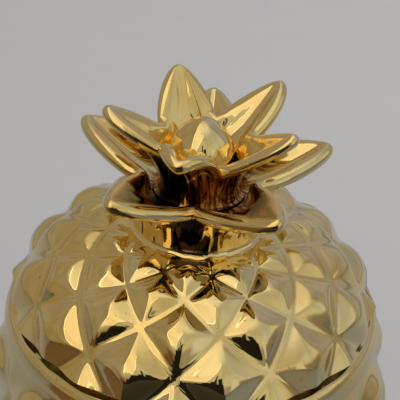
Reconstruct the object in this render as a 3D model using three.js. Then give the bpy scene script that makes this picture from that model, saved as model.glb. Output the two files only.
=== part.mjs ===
// Lidded ceramic jar in the form of a pineapple, plated bright gold over its glaze.
// Millimetres, +Z up, origin at the centre of the foot ring's underside.
// The egg is one outline, cut at the seam into a jar and a lift-off lid. Its diamonds are laid out in
// equal steps of angle and of conformal latitude, so that each keeps its shape while it shrinks upwards.
// Column 0 of the lattice faces -Y. Rows are counted downwards from the crown.
import * as THREE from 'three';

// Egg outline, taken in the valleys of the relief
const equatorRadius = 59.3;
const equatorHeight = 74;
const bellyHandle = 34;
const footRadius = 39;
const footBandHeight = 4;
const footHandle = 24;
const footSplay = THREE.MathUtils.degToRad(52);
const domeHandle = 38.7;
const domeRise = 66.3;
const crownSeatRadius = 20.6;
const crownSeatHandle = 29.1;
const crownSeatFall = THREE.MathUtils.degToRad(12.8);

// Seam between jar and lid, above the equator, and the clearance that every loose or luted seat keeps
const seamRise = 39;
const seatGap = 0.3;
const edgeRound = 0.8;

// Diamond relief. Its height is a share of the local radius, its rounding of the full height.
// Its fades are shares of a half cell.
const cellsRound = 12;
const seamRow = 3.7;
const stepsPerHalfCell = 2;
const reliefShare = 0.088;
const valleyRoundShare = 0.1;
const peakRoundShare = 0.3;
const crownFadeShare = 0.8;
const footFadeShare = 0.5;
const rimFadeShare = 1.4;

// Jar
const wall = 4.5;
const rimBandHeight = 8.2;
const rimBead = 1.6;
const mouthRadius = 46;
const mouthDepth = 9;
const mouthTaper = 7;
const footRingWidth = 5;
const footRecess = 2.2;
const floorThickness = 5;

// Lid, with a groove round its flange for the seal
const flangeClearance = 1;
const flangeWall = 3.8;
const flangeDepth = 8;
const grooveDepth = 1.4;
const grooveDrop = 2.4;
const sealHeight = 3;
const neckBore = 8;

// Crown: two whorls of leaves and a bud
const leavesRound = 5;
const leafTipWidth = 4.2;
const leafShoulderShare = 0.42;
const lipShare = 0.4;
const lipMost = 4.5;
const undersideLipShare = 0.2;
const neckFillet = 1.6;
const footEdge = 0.5;
const neckHollow = 7.6;
const budFootRadius = 6.8;
const budBellyPull = 13.6;
const budBellyShare = 0.4;
const budTipPull = 4;
const budHeight = 14.6;
const floorMargin = 0.6;

// Rises are taken from the whorl's own foot. The lists hold one share a leaf, from turn on towards +X:
// of its reach, of its lift over the creases, of the crease after it, and of the arch of its sides.
const outerWhorlSizes = {
  turn: THREE.MathUtils.degToRad(36),
  rim: 4.6,
  neckRadius: crownSeatRadius - neckFillet,
  creaseDepth: 0.3,
  pinch: 1,
  creaseRadius: 19.4,
  creaseRise: 16.2,
  tipRadius: 39.6,
  tipRise: 22.2,
  floorRise: 11.3,
  reachShares: [1.08, 0.98, 1.1, 0.95, 0.94],
  liftShares: [1.03, 0.8, 0.66, 1.08, 0.88],
  creaseShares: [1, 1, 1, 1, 0.86],
  archShares: [0, 0, 0, 0, 0],
  undersidePullShares: [0.04, 0.3],
  cupPullShares: [0.35, 0.2],
};

const innerWhorlSizes = {
  turn: THREE.MathUtils.degToRad(-10),
  rim: 4.2,
  neckRadius: 11.8,
  creaseDepth: 0.3,
  pinch: 0,
  creaseRadius: 15.2,
  creaseRise: 16,
  tipRadius: 28.2,
  tipRise: 25,
  floorRise: 7.8,
  reachShares: [0.92, 1.15, 1.12, 0.66, 1.02],
  liftShares: [0.62, 1.12, 0.92, 1.14, 0.88],
  creaseShares: [0.82, 1, 0.88, 0.88, 1],
  archShares: [0.35, 0, 0, 0, 0],
  undersidePullShares: [0.04, 0.33],
  cupPullShares: [0.42, 0.4],
};

// Where the columns and rings of a whorl lie: shares of half a leaf, and of the way up to the rim
const leafColumnShares = [-1, -0.75, -0.5, -0.28, -0.12, 0, 0.12, 0.28, 0.5, 0.75];
const filletShares = [0.3, 0.65, 1];
const undersideShares = [0.16, 0.32, 0.48, 0.64, 0.82];
const cupShares = [0.82, 0.64, 0.48, 0.32, 0.16];
const rimTurns = [-90, -60, -30, 0, 30, 60, 90].map((degrees) => THREE.MathUtils.degToRad(degrees));

// How a crease deepens towards the gap between two leaves, on the neck and where the leaves spread
const neckCreasePower = 3;
const pinchPower = 1.5;

const outlineSteps = 360;
const beadSteps = 6;
const budSteps = 12;
const columns = 2 * cellsRound * stepsPerHalfCell;
const halfCell = Math.PI / cellsRound;

const goldPlate = { color: 0xd8bd7a, metalness: 1, roughness: 0.12 };
const silicone = { color: 0xd9dcda, metalness: 0, roughness: 0.55 };

const crownHeight = equatorHeight + domeRise;
const seamHeight = equatorHeight + seamRise;
const landHeight = seamHeight + seatGap;
const flangeRadius = mouthRadius - flangeClearance;
const sealTop = landHeight - grooveDrop;
const sealBottom = sealTop - sealHeight;

// Egg outline from the foot band up to the crown's seat, as points of radius and height
function eggOutline() {
  const foot = new THREE.Vector2(footRadius, footBandHeight);
  const footPull = new THREE.Vector2(Math.cos(footSplay), Math.sin(footSplay))
    .multiplyScalar(footHandle).add(foot);
  const bellyPull = new THREE.Vector2(equatorRadius, equatorHeight - bellyHandle);
  const equator = new THREE.Vector2(equatorRadius, equatorHeight);
  const domePull = new THREE.Vector2(equatorRadius, equatorHeight + domeHandle);
  const seat = new THREE.Vector2(crownSeatRadius, crownHeight);
  const seatPull = new THREE.Vector2(Math.cos(crownSeatFall), -Math.sin(crownSeatFall))
    .multiplyScalar(crownSeatHandle).add(seat);
  const belly = new THREE.CubicBezierCurve(foot, footPull, bellyPull, equator).getPoints(outlineSteps);
  const dome = new THREE.CubicBezierCurve(equator, domePull, seatPull, seat).getPoints(outlineSteps);
  return belly.concat(dome.slice(1));
}

// Conformal latitude of each outline point: the way along the outline, each piece over its own radius
function latitudesAlong(points) {
  const values = [0];
  for (let i = 1; i < points.length; i += 1) {
    const meanRadius = (points[i].x + points[i - 1].x) / 2;
    values.push(values[i - 1] + points[i].distanceTo(points[i - 1]) / meanRadius);
  }
  return values;
}

const outline = eggOutline();
const latitudes = latitudesAlong(outline);
const seamLatitude = latitudeAtHeight(seamHeight);
const footRow = rowAtLatitude(0);
const crownRow = rowAtLatitude(latitudes[latitudes.length - 1]);
const lidRow = rowAtLatitude(latitudeAtHeight(landHeight + edgeRound));
const beadRow = rowAtLatitude(latitudeAtHeight(seamHeight - edgeRound));
const bandRow = rowAtLatitude(latitudeAtHeight(seamHeight - rimBandHeight));

function latitudeAtHeight(height) {
  const i = outline.findIndex((point) => point.y > height);
  const share = (height - outline[i - 1].y) / (outline[i].y - outline[i - 1].y);
  return THREE.MathUtils.lerp(latitudes[i - 1], latitudes[i], share);
}

function rowAtLatitude(latitude) {
  return seamRow + (seamLatitude - latitude) / halfCell;
}

// Place on the outline at a lattice row, with the outward normal there
function outlineAtRow(row) {
  const latitude = seamLatitude + (seamRow - row) * halfCell;
  const above = latitudes.findIndex((value) => value > latitude);
  const i = above < 0 ? latitudes.length - 1 : Math.max(above, 1);
  const passed = (latitude - latitudes[i - 1]) / (latitudes[i] - latitudes[i - 1]);
  const share = THREE.MathUtils.clamp(passed, 0, 1);
  const place = outline[i - 1].clone().lerp(outline[i], share);
  const along = outline[i].clone().sub(outline[i - 1]).normalize();
  return { place, normal: new THREE.Vector2(along.y, -along.x) };
}

// Runs from 0 on a valley to 1 half way between two valleys
function tent(value) {
  return 2 * Math.abs(value - Math.round(value));
}

// Valleys cross the lattice diagonally, one family rising to the right and one falling
function valleyDistances(column, row) {
  return { rising: tent((column + row + 1) / 2), falling: tent((column - row + 1) / 2) };
}

// Rounds the foot of a slope into its valley and its top into the ridge
function softened(height) {
  const top = 1 - height;
  if (height < valleyRoundShare) return (height * height / valleyRoundShare + valleyRoundShare) / 2;
  if (top < peakRoundShare) return 1 - (top * top / peakRoundShare + peakRoundShare) / 2;
  return height;
}

// The diamonds of one piece, between the rows where they fade in below its top and out above its foot
const lidField = { firstRow: crownRow, fadeIn: crownFadeShare, lastRow: Infinity, fadeOut: footFadeShare };
const jarField = { firstRow: bandRow, fadeIn: rimFadeShare, lastRow: footRow, fadeOut: footFadeShare };

// Height of the diamonds over the valleys, as a share of the local radius
function relief(column, row, field) {
  const { rising, falling } = valleyDistances(column, row);
  const risen = THREE.MathUtils.smoothstep(row - field.firstRow, 0, field.fadeIn);
  const kept = THREE.MathUtils.smoothstep(field.lastRow - row, 0, field.fadeOut);
  return reliefShare * softened(Math.min(rising, falling)) * risen * kept;
}

// Point on a circle round the axis. Angle 0 faces -Y and grows towards +X.
function onCircle(radius, angle, height) {
  return new THREE.Vector3(radius * Math.sin(angle), -radius * Math.cos(angle), height);
}

function pole(height) {
  return [onCircle(0, 0, height)];
}

function plainRing(radius, height) {
  const step = halfCell / stepsPerHalfCell;
  return Array.from({ length: columns }, (_, i) => onCircle(radius, i * step, height));
}

function offsetRing(row, offset) {
  const { place, normal } = outlineAtRow(row);
  return plainRing(place.x + normal.x * offset, place.y + normal.y * offset);
}

// Ring of diamonds at one row. It keeps the row, so that its faces can be split along the valleys.
function reliefRing(row, field) {
  const { place, normal } = outlineAtRow(row);
  const ring = Array.from({ length: columns }, (_, i) => {
    const lift = place.x * relief(i / stepsPerHalfCell, row, field);
    return onCircle(place.x + normal.x * lift, i * halfCell / stepsPerHalfCell, place.y + normal.y * lift);
  });
  ring.row = row;
  return ring;
}

// Both end rows, and every row between them on a step of the lattice that isn't too close to an end
function latticeRows(fromRow, toRow, stepRows) {
  const rows = [fromRow];
  const least = stepRows / 4;
  for (let k = Math.ceil((fromRow + least) / stepRows); k * stepRows < toRow - least; k += 1) {
    rows.push(k * stepRows);
  }
  rows.push(toRow);
  return rows;
}

// Tells which diagonal of a face lies nearer to a valley
function splitsBackwards(ring, next, column) {
  if (ring.row === undefined || next.row === undefined) return false;
  const middle = (column + 1 / 2) / stepsPerHalfCell;
  const { rising, falling } = valleyDistances(middle, (ring.row + next.row) / 2);
  return (rising < falling) === (next.row > ring.row);
}

// Joins rings into one closed skin. A ring of one point is a pole.
// Without poles the last ring meets the first.
function closedSkin(rings) {
  const points = rings.flat();
  const starts = [];
  rings.reduce((start, ring) => {
    starts.push(start);
    return start + ring.length;
  }, 0);
  const index = [];
  const bands = rings[0].length === 1 ? rings.length - 1 : rings.length;
  for (let k = 0; k < bands; k += 1) {
    const n = (k + 1) % rings.length;
    const count = Math.max(rings[k].length, rings[n].length);
    for (let i = 0; i < count; i += 1) {
      const j = (i + 1) % count;
      const here = starts[k] + i % rings[k].length;
      const hereNext = starts[k] + j % rings[k].length;
      const there = starts[n] + i % rings[n].length;
      const thereNext = starts[n] + j % rings[n].length;
      const backwards = splitsBackwards(rings[k], rings[n], i);
      if (rings[k].length === 1) index.push(here, thereNext, there);
      else if (rings[n].length === 1) index.push(here, hereNext, there);
      else if (backwards) index.push(here, hereNext, there, hereNext, thereNext, there);
      else index.push(here, hereNext, thereNext, here, thereNext, there);
    }
  }
  return facingOut(points, index);
}

// Makes the geometry with its faces outwards, whichever way the rings ran
function facingOut(points, index) {
  let volume = 0;
  for (let i = 0; i < index.length; i += 3) {
    const [a, b, c] = index.slice(i, i + 3).map((k) => points[k]);
    volume += a.dot(b.clone().cross(c));
  }
  const geometry = new THREE.BufferGeometry().setFromPoints(points);
  geometry.setIndex(volume < 0 ? index.reverse() : index);
  geometry.computeVertexNormals();
  return geometry;
}

// Silvery bead round the top of the jar, from the seam down to the first diamonds
function beadRings() {
  return Array.from({ length: beadSteps + 1 }, (_, k) => {
    const turn = Math.PI * k / beadSteps;
    const row = THREE.MathUtils.lerp(beadRow, bandRow, (1 - Math.cos(turn)) / 2);
    return offsetRing(row, rimBead * Math.sin(turn));
  });
}

function jarBody() {
  const floorHeight = footRecess + floorThickness;
  const shoulderHeight = seamHeight - mouthDepth - mouthTaper;
  const shoulderRow = rowAtLatitude(latitudeAtHeight(shoulderHeight));
  const lowestRow = rowAtLatitude(latitudeAtHeight(floorHeight + wall));
  const diamondRows = latticeRows(bandRow, footRow, 1 / stepsPerHalfCell).slice(1);
  const rings = [
    pole(floorHeight),
    plainRing(footRadius - wall, floorHeight),
    ...latticeRows(shoulderRow, lowestRow, 1).reverse().map((row) => offsetRing(row, -wall)),
    plainRing(mouthRadius, seamHeight - mouthDepth),
    plainRing(mouthRadius, seamHeight - edgeRound),
    plainRing(mouthRadius + edgeRound, seamHeight),
    plainRing(outlineAtRow(seamRow).place.x - edgeRound, seamHeight),
    ...beadRings(),
    ...diamondRows.map((row) => reliefRing(row, jarField)),
    plainRing(footRadius, edgeRound),
    plainRing(footRadius - edgeRound, 0),
    plainRing(footRadius - footRingWidth, 0),
    plainRing(footRadius - footRingWidth - footRecess, footRecess),
    pole(footRecess),
  ];
  return closedSkin(rings);
}

// The flange drops into the mouth with a running clearance. The dome is open above into the crown's neck.
function lidDome() {
  const flangeFoot = landHeight - flangeDepth;
  const flangeInside = flangeRadius - flangeWall;
  const grooveRadius = flangeRadius - grooveDepth;
  const roofRow = rowAtLatitude(latitudeAtHeight(crownHeight - wall));
  const eaveRow = rowAtLatitude(latitudeAtHeight(landHeight + flangeDepth));
  const diamondRows = latticeRows(crownRow, lidRow, 1 / stepsPerHalfCell).reverse();
  const rings = [
    ...latticeRows(roofRow, eaveRow, 1).map((row) => offsetRing(row, -wall)),
    plainRing(flangeInside, landHeight),
    plainRing(flangeInside, flangeFoot),
    plainRing(flangeRadius - edgeRound, flangeFoot),
    plainRing(flangeRadius, flangeFoot + edgeRound),
    plainRing(flangeRadius, sealBottom - seatGap),
    plainRing(grooveRadius, sealBottom - seatGap),
    plainRing(grooveRadius, sealTop + seatGap),
    plainRing(flangeRadius, sealTop + seatGap),
    plainRing(flangeRadius, landHeight),
    plainRing(outlineAtRow(seamRow).place.x - edgeRound, landHeight),
    ...diamondRows.map((row) => reliefRing(row, lidField)),
    plainRing(neckBore, crownHeight),
    plainRing(neckBore, crownHeight - wall),
  ];
  return closedSkin(rings);
}

// Seal in the flange's groove, proud of the flange so that it takes up the play in the mouth
function lidSeal() {
  const inside = flangeRadius - grooveDepth + seatGap;
  const outside = mouthRadius - seatGap;
  const profile = [
    new THREE.Vector2(inside, sealBottom),
    new THREE.Vector2(flangeRadius, sealBottom),
    new THREE.Vector2(outside, (sealBottom + sealTop) / 2),
    new THREE.Vector2(flangeRadius, sealTop),
    new THREE.Vector2(inside, sealTop),
    new THREE.Vector2(inside, sealBottom),
  ];
  return new THREE.LatheGeometry(profile, columns).rotateX(Math.PI / 2);
}

// Rim of a whorl. A leaf's sides leave the creases side by side and close in a rounded tip.
function rimPoint(whorl, leaf, share) {
  const halfAngle = Math.PI / leavesRound;
  const reach = (whorl.tipRadius - whorl.creaseRadius) * whorl.reachShares[leaf];
  const lift = (whorl.tipRise - whorl.creaseRise) * whorl.liftShares[leaf];
  const tip = new THREE.Vector2(0, whorl.creaseRadius + reach);
  const corner = new THREE.Vector2(Math.sin(halfAngle), Math.cos(halfAngle))
    .multiplyScalar(whorl.creaseRadius);
  const tipPull = new THREE.Vector2(leafTipWidth, tip.y);
  const shoulder = new THREE.Vector2(corner.x, THREE.MathUtils.lerp(corner.y, tip.y, leafShoulderShare));
  const place = new THREE.CubicBezierCurve(tip, tipPull, shoulder, corner).getPoint(Math.abs(share));
  const radius = place.length();
  const angle = whorl.turn + 2 * leaf * halfAngle + Math.sign(share) * Math.atan2(place.x, place.y);
  const crease = share > 0 ? leaf : (leaf + leavesRound - 1) % leavesRound;
  const creaseRise = whorl.creaseRise * whorl.creaseShares[crease];
  const climbed = (radius - whorl.creaseRadius) / reach;
  const rise = THREE.MathUtils.lerp(creaseRise, whorl.creaseRise + lift, climbed);
  const arch = 4 * climbed * (1 - climbed) * whorl.archShares[leaf] * (whorl.tipRise - whorl.creaseRise);
  return onCircle(radius, angle, whorl.footHeight + rise + arch);
}

// For every column of a whorl: the rim's centre, the way out across it, and how far its lip runs inwards
function rimFrames(whorl) {
  const nudgeShare = 0.02;
  const frames = [];
  for (let leaf = 0; leaf < leavesRound; leaf += 1) {
    leafColumnShares.forEach((share) => {
      const rim = rimPoint(whorl, leaf, share);
      const after = rimPoint(whorl, leaf, share + nudgeShare);
      const before = share > -1
        ? rimPoint(whorl, leaf, share - nudgeShare)
        : rimPoint(whorl, (leaf + leavesRound - 1) % leavesRound, 1 - nudgeShare);
      const out = new THREE.Vector3(after.y - before.y, before.x - after.x, 0).normalize();
      const centre = rim.clone().addScaledVector(out, -whorl.rim / 2);
      const width = Math.max(0, rim.distanceTo(rimPoint(whorl, leaf, -share)) - whorl.rim);
      const lip = THREE.MathUtils.lerp(Math.min(width * lipShare, lipMost), whorl.rim / 2, share ** 2);
      frames.push({ share, out, centre, lip, angle: Math.atan2(rim.x, -rim.y) });
    });
  }
  return frames;
}

// Concave ring of glaze round the foot of a neck, from its edge up to the neck
function filletRings(foot, corner, neck) {
  return filletShares.map((share) => foot.map((point, k) => (
    new THREE.QuadraticBezierCurve3(point, corner[k], neck[k]).getPoint(share)
  )));
}

// One whorl: a foot, undersides that flare to a rolled rim, and cupped leaves that fall to a floor
function whorlGeometry(whorl) {
  const frames = rimFrames(whorl);
  const floorHeight = whorl.footHeight + whorl.floorRise;
  const circle = (radius, height) => frames.map((frame) => onCircle(radius, frame.angle, height));
  const rim = (turn) => frames.map((frame) => frame.centre.clone()
    .addScaledVector(frame.out, Math.cos(turn) * whorl.rim / 2)
    .add(onCircle(0, 0, Math.sin(turn) * whorl.rim / 2)));
  const bend = (fromRadius, [radiusShare, riseShare], pinch) => frames.map((frame) => {
    const reach = Math.hypot(frame.centre.x, frame.centre.y);
    const pinched = pinch * Math.abs(frame.share) ** pinchPower;
    const radius = THREE.MathUtils.lerp(fromRadius, reach, radiusShare) - pinched;
    return onCircle(radius, frame.angle, THREE.MathUtils.lerp(floorHeight, frame.centre.z, riseShare));
  });
  const sweep = (from, middle, to, levelShare, share) => frames.map((frame, k) => {
    const lip = to[k].clone().addScaledVector(frame.out, -frame.lip * levelShare);
    return new THREE.CubicBezierCurve3(from[k], middle[k], lip, to[k]).getPoint(share);
  });
  const creased = (height) => frames.map((frame) => {
    const radius = whorl.neckRadius - whorl.creaseDepth * Math.abs(frame.share) ** neckCreasePower;
    return onCircle(radius, frame.angle, height);
  });
  const foot = circle(whorl.neckRadius + neckFillet, whorl.footHeight + footEdge);
  const neck = creased(whorl.footHeight + footEdge + neckFillet);
  const floor = circle(whorl.floorRadius, floorHeight);
  const underside = bend(whorl.neckRadius, whorl.undersidePullShares, whorl.pinch);
  const cup = bend(whorl.floorRadius, whorl.cupPullShares, 0);
  const lowerRim = rim(rimTurns[0]);
  const upperRim = rim(rimTurns[rimTurns.length - 1]);
  const hollowTop = whorl.footHeight + whorl.hollowRise;
  const hollow = whorl.hollowRise > 0
    ? [pole(hollowTop), circle(neckBore, hollowTop), circle(neckBore, whorl.footHeight)]
    : [pole(whorl.footHeight)];
  return closedSkin([
    ...hollow,
    circle(whorl.neckRadius + neckFillet, whorl.footHeight),
    foot,
    ...filletRings(foot, creased(whorl.footHeight + footEdge), neck),
    ...undersideShares.map((share) => sweep(neck, underside, lowerRim, undersideLipShare, share)),
    ...rimTurns.map((turn) => rim(turn)),
    ...cupShares.map((share) => sweep(floor, cup, upperRim, 1, share)),
    floor,
    pole(floorHeight),
  ]);
}

const innerFoot = innerWhorlSizes.neckRadius + neckFillet;
const outerWhorl = {
  ...outerWhorlSizes,
  footHeight: crownHeight + seatGap,
  floorRadius: innerFoot + floorMargin,
  hollowRise: neckHollow,
};
const innerWhorl = {
  ...innerWhorlSizes,
  footHeight: outerWhorl.footHeight + outerWhorl.floorRise + seatGap,
  floorRadius: budFootRadius + floorMargin,
  hollowRise: 0,
};

// Egg-shaped bud standing on the inner whorl's floor
function budGeometry() {
  const base = innerWhorl.footHeight + innerWhorl.floorRise + seatGap;
  const profile = new THREE.CubicBezierCurve(
    new THREE.Vector2(budFootRadius, base),
    new THREE.Vector2(budBellyPull, base + budHeight * budBellyShare),
    new THREE.Vector2(budTipPull, base + budHeight),
    new THREE.Vector2(0, base + budHeight),
  );
  const points = [new THREE.Vector2(0, base), ...profile.getPoints(budSteps)];
  return new THREE.LatheGeometry(points, columns / 2).rotateX(Math.PI / 2);
}

function piece(name, geometry, finish) {
  const mesh = new THREE.Mesh(geometry, new THREE.MeshStandardMaterial(finish));
  mesh.name = name;
  return mesh;
}

const lid = new THREE.Group();
lid.add(piece('lid_dome', lidDome(), goldPlate));
lid.add(piece('lid_seal', lidSeal(), silicone));
lid.add(piece('crown_outer_whorl', whorlGeometry(outerWhorl), goldPlate));
lid.add(piece('crown_inner_whorl', whorlGeometry(innerWhorl), goldPlate));
lid.add(piece('crown_bud', budGeometry(), goldPlate));

const group = new THREE.Group();
group.add(piece('jar_body', jarBody(), goldPlate), lid);

export default group;
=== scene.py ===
import math

import bpy
import numpy as np
from mathutils import Matrix, Vector


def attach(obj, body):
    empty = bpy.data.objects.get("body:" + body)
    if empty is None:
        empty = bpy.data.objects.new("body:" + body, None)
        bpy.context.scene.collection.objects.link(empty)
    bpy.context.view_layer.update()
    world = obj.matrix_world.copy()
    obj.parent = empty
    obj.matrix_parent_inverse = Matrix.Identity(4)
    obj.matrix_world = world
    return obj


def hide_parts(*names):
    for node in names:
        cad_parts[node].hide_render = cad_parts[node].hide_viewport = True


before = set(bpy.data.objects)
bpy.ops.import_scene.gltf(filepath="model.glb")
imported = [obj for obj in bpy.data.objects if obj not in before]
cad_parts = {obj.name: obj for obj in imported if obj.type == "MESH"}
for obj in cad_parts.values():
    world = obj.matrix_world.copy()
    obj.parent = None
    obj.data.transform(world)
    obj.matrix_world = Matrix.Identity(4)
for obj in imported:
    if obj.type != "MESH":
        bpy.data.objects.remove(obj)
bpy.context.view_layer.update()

# Lidded ceramic jar in the form of a pineapple, plated bright gold over its glaze.
# The shapes come from the part's own named sizes, in millimetres, drawn much finer here.
# Angles round the jar are counted from the front, -Y, towards +X.
MM = 0.001

# Egg outline, taken in the valleys of the relief
EQUATOR_RADIUS = 59.3
EQUATOR_HEIGHT = 74
BELLY_HANDLE = 34
FOOT_RADIUS = 39
FOOT_BAND_HEIGHT = 4
FOOT_HANDLE = 24
FOOT_SPLAY = math.radians(52)
DOME_HANDLE = 38.7
DOME_RISE = 66.3
CROWN_SEAT_RADIUS = 20.6
CROWN_SEAT_HANDLE = 29.1
CROWN_SEAT_FALL = math.radians(12.8)

# Seam between jar and lid
SEAM_RISE = 39
SEAT_GAP = 0.3
EDGE_ROUND = 0.8

# Diamond relief
CELLS_ROUND = 12
SEAM_ROW = 3.7
RELIEF_SHARE = 0.088
VALLEY_ROUND = 0.22
PEAK_ROUND = 0.4
RIDGE_ROUND = 0.32
PILLOW_SHARE = 0.3
CROWN_FADE_ROWS = 0.8
FOOT_FADE_ROWS = 0.5
RIM_FADE_ROWS = 0.7

# Jar
WALL = 4.5
RIM_BAND_HEIGHT = 8.2
RIM_BEAD = 1.6
MOUTH_RADIUS = 46
MOUTH_DEPTH = 9
MOUTH_TAPER = 7
FOOT_RING_WIDTH = 5
FOOT_RECESS = 2.2
FLOOR_THICKNESS = 5

# Lid and its seal
FLANGE_CLEARANCE = 1
FLANGE_WALL = 3.8
FLANGE_DEPTH = 8
GROOVE_DEPTH = 1.4
GROOVE_DROP = 2.4
SEAL_HEIGHT = 3
NECK_BORE = 8

# Crown
LEAVES_ROUND = 5
LIP_SHARE = 0.4
LIP_MOST = 4.5
UNDERSIDE_LIP_SHARE = 0.2
LEAF_TIP_WIDTH = 4.2
LEAF_SHOULDER_SHARE = 0.42
NECK_FILLET = 1.6
FOOT_EDGE = 0.5
NECK_HOLLOW = 7.6
BUD_FOOT_RADIUS = 6.8
BUD_BELLY_PULL = 13.6
BUD_BELLY_SHARE = 0.4
BUD_TIP_PULL = 4
BUD_HEIGHT = 14.6
FLOOR_MARGIN = 0.6

# Glaze that ran down at the neck's foot, furthest towards one side and slightly rippled
GLAZE_RUN = 0.9
GLAZE_RUN_TOWARDS = math.radians(25)
GLAZE_RIPPLE = 0.2
GLAZE_RIPPLES = 7

OUTER_WHORL = {
    "turn": math.radians(36),
    "rim": 4.6,
    "neck_radius": CROWN_SEAT_RADIUS - NECK_FILLET,
    "crease_depth": 0.3,
    "pinch": 1,
    "crease_radius": 19.4,
    "crease_rise": 16.2,
    "tip_radius": 39.6,
    "tip_rise": 22.2,
    "floor_rise": 11.3,
    "reach_shares": [1.08, 0.98, 1.1, 0.95, 0.94],
    "lift_shares": [1.03, 0.8, 0.66, 1.08, 0.88],
    "crease_rise_shares": [1, 1, 1, 1, 0.86],
    "arch_shares": [0, 0, 0, 0, 0],
    "underside_pull": [0.04, 0.3],
    "cup_pull": [0.35, 0.2],
}

INNER_WHORL = {
    "turn": math.radians(-10),
    "rim": 4.2,
    "neck_radius": 11.8,
    "crease_depth": 0.3,
    "pinch": 0,
    "crease_radius": 15.2,
    "crease_rise": 16,
    "tip_radius": 28.2,
    "tip_rise": 25,
    "floor_rise": 7.8,
    "reach_shares": [0.92, 1.15, 1.12, 0.66, 1.02],
    "lift_shares": [0.62, 1.12, 0.92, 1.14, 0.88],
    "crease_rise_shares": [0.82, 1, 0.88, 0.88, 1],
    "arch_shares": [0.35, 0, 0, 0, 0],
    "underside_pull": [0.04, 0.33],
    "cup_pull": [0.42, 0.4],
}

# How finely the pieces are drawn
STEPS_PER_HALF_CELL = 20
INSIDE_ROW_STEP = 0.25
OUTLINE_STEPS = 600
LEAF_STEPS = 30
SWEEP_STEPS = 16
RIM_STEPS = 12
BEAD_STEPS = 14
EDGE_STEPS = 4
FILLET_STEPS = 8
BUD_STEPS = 40
RIM_NUDGE = 0.01
SHARP_EDGE = math.radians(50)

# The part of the dome's relief that the neck's fillet can reach, in rows below the crown
REACHED_ROWS = 2
REACHED_ROW_STEP = 1 / 40

# Camera, at the photograph's viewing angle
CAMERA_AZIMUTH = math.radians(3.7)
CAMERA_ELEVATION = math.radians(37.52)
CAMERA_DISTANCE = 406.8
CAMERA_PIVOT_HEIGHT = 114.52
CAMERA_AIM = Vector((0.35, 0.02, 147.43))
CAMERA_ROLL = math.radians(3.72)
CAMERA_LENS = 119.87
SENSOR = 36
CLIP_START = 0.01

# Soft top light and floor, in metres and watts
SOFTBOX_SIZE = 0.9
SOFTBOX_ENERGY = 8.2
SOFTBOX_PLACE = Vector((0.3, 0.35, 1.1))
SOFTBOX_AIM = Vector((0, 0, 0.05))
FLOOR_REACH = 3.0

# Colours of the plating, and of the painted shade in the seam, between the whorls and under the leaves
PALE_GOLD = (0.90, 0.70, 0.31, 1)
RICH_GOLD = (0.90, 0.64, 0.23, 1)
SPECK_BROWN = (0.35, 0.2, 0.07, 1)
# Painted shade in the seam under the lid's edge
SEAM_BROWN = (0.05, 0.03, 0.015, 1)
# Painted shade and dark painted reflections under the front leaves
NECK_BROWN = (0.03, 0.018, 0.010, 1)
# Painted shade between the whorls, and its streaks of painted reflection
DEEP_BROWN = (0.13, 0.06, 0.022, 1)
AMBER = (0.55, 0.27, 0.09, 1)
LEAF_BROWN = (0.54, 0.36, 0.13, 1)
# Nearly black, deep in the gap at the left
GAP_LEFT_BLACK = (0.012, 0.010, 0.010, 1)

# Colours of the floor and of the room that the plating mirrors
FLOOR_GREY = (0.43, 0.427, 0.425, 1)
FLOOR_PALE_GREY = (0.45, 0.447, 0.445, 1)
FLOOR_BLUE = (0.26, 0.28, 0.35, 1)
FLOOR_DEEP_BLUE = (0.21, 0.25, 0.37, 1)
FLOOR_FAR = (0.36, 0.38, 0.44, 1)
FLOOR_BROWN = (0.16, 0.10, 0.06, 1)
FLOOR_DARK_BROWN = (0.09, 0.075, 0.06, 1)
FLOOR_BLACK = (0.014, 0.014, 0.012, 1)
BACKDROP = (0.47, 0.46, 0.45, 1)
WARM_WALL = (0.32, 0.305, 0.285, 1)
COOL_WALL = (0.35, 0.365, 0.48, 1)
CEILING = (0.80, 0.80, 0.79, 1)
CREAM = (0.97, 0.90, 0.79, 1)
COVE_LIGHT = (1.7, 1.65, 1.5, 1)
NEARLY_BLACK = (0.013, 0.013, 0.012, 1)

# Left and right edge of the lit ceiling, each by two directions of azimuth and elevation in degrees
COVE_LOW = (-40, 29)
COVE_HIGH = (-124, 70)
COVE_RIGHT_LOW = (-18, 24)
COVE_RIGHT_HIGH = (6, 64)

# Places on the walls: azimuth from and to with the softness of both sides, the elevations over which
# the place begins or ends, whether it lies above or below them, and its colour
WALL_PLACES = [
    ((-105, -30, 12), (10, 24), "below", (0.29, 0.255, 0.19, 1)),
    ((-40, 104, 8), (8, 20), "above", (0.53, 0.53, 0.48, 1)),
    ((56, 104, 8), (6, 20), "above", (0.52, 0.55, 0.59, 1)),
    ((58, 98, 5), (6, 14), "below", (0.23, 0.215, 0.21, 1)),
    ((40, 56, 2), (22, 30), "below", (0.58, 0.62, 0.66, 1)),
]

# Furniture and the dark front of the room, where the camera stands
DARK_PLACES = [
    ((-44, -30, 3), (5, 11), "below", (0.14, 0.08, 0.05, 1)),
    ((-34, 22, 1.5), (1, 5), "below", NEARLY_BLACK),
    ((-26, 22, 1.5), (8, 12), "below", NEARLY_BLACK),
    ((-20, 22, 1.5), (19, 23), "below", NEARLY_BLACK),
    ((-5, 4, 1.5), (26, 30), "below", NEARLY_BLACK),
    ((11, 20, 1.5), (32, 36), "below", NEARLY_BLACK),
    ((3, 8, 1.5), (42, 46), "below", NEARLY_BLACK),
]

HALF_CELL = math.pi / CELLS_ROUND
COLUMNS = 2 * CELLS_ROUND * STEPS_PER_HALF_CELL
ANGLES = np.arange(COLUMNS) * HALF_CELL / STEPS_PER_HALF_CELL
CROWN_HEIGHT = EQUATOR_HEIGHT + DOME_RISE
SEAM_HEIGHT = EQUATOR_HEIGHT + SEAM_RISE
LAND_HEIGHT = SEAM_HEIGHT + SEAT_GAP
FLANGE_RADIUS = MOUTH_RADIUS - FLANGE_CLEARANCE
SEAL_TOP = LAND_HEIGHT - GROOVE_DROP
SEAL_BOTTOM = SEAL_TOP - SEAL_HEIGHT
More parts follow.
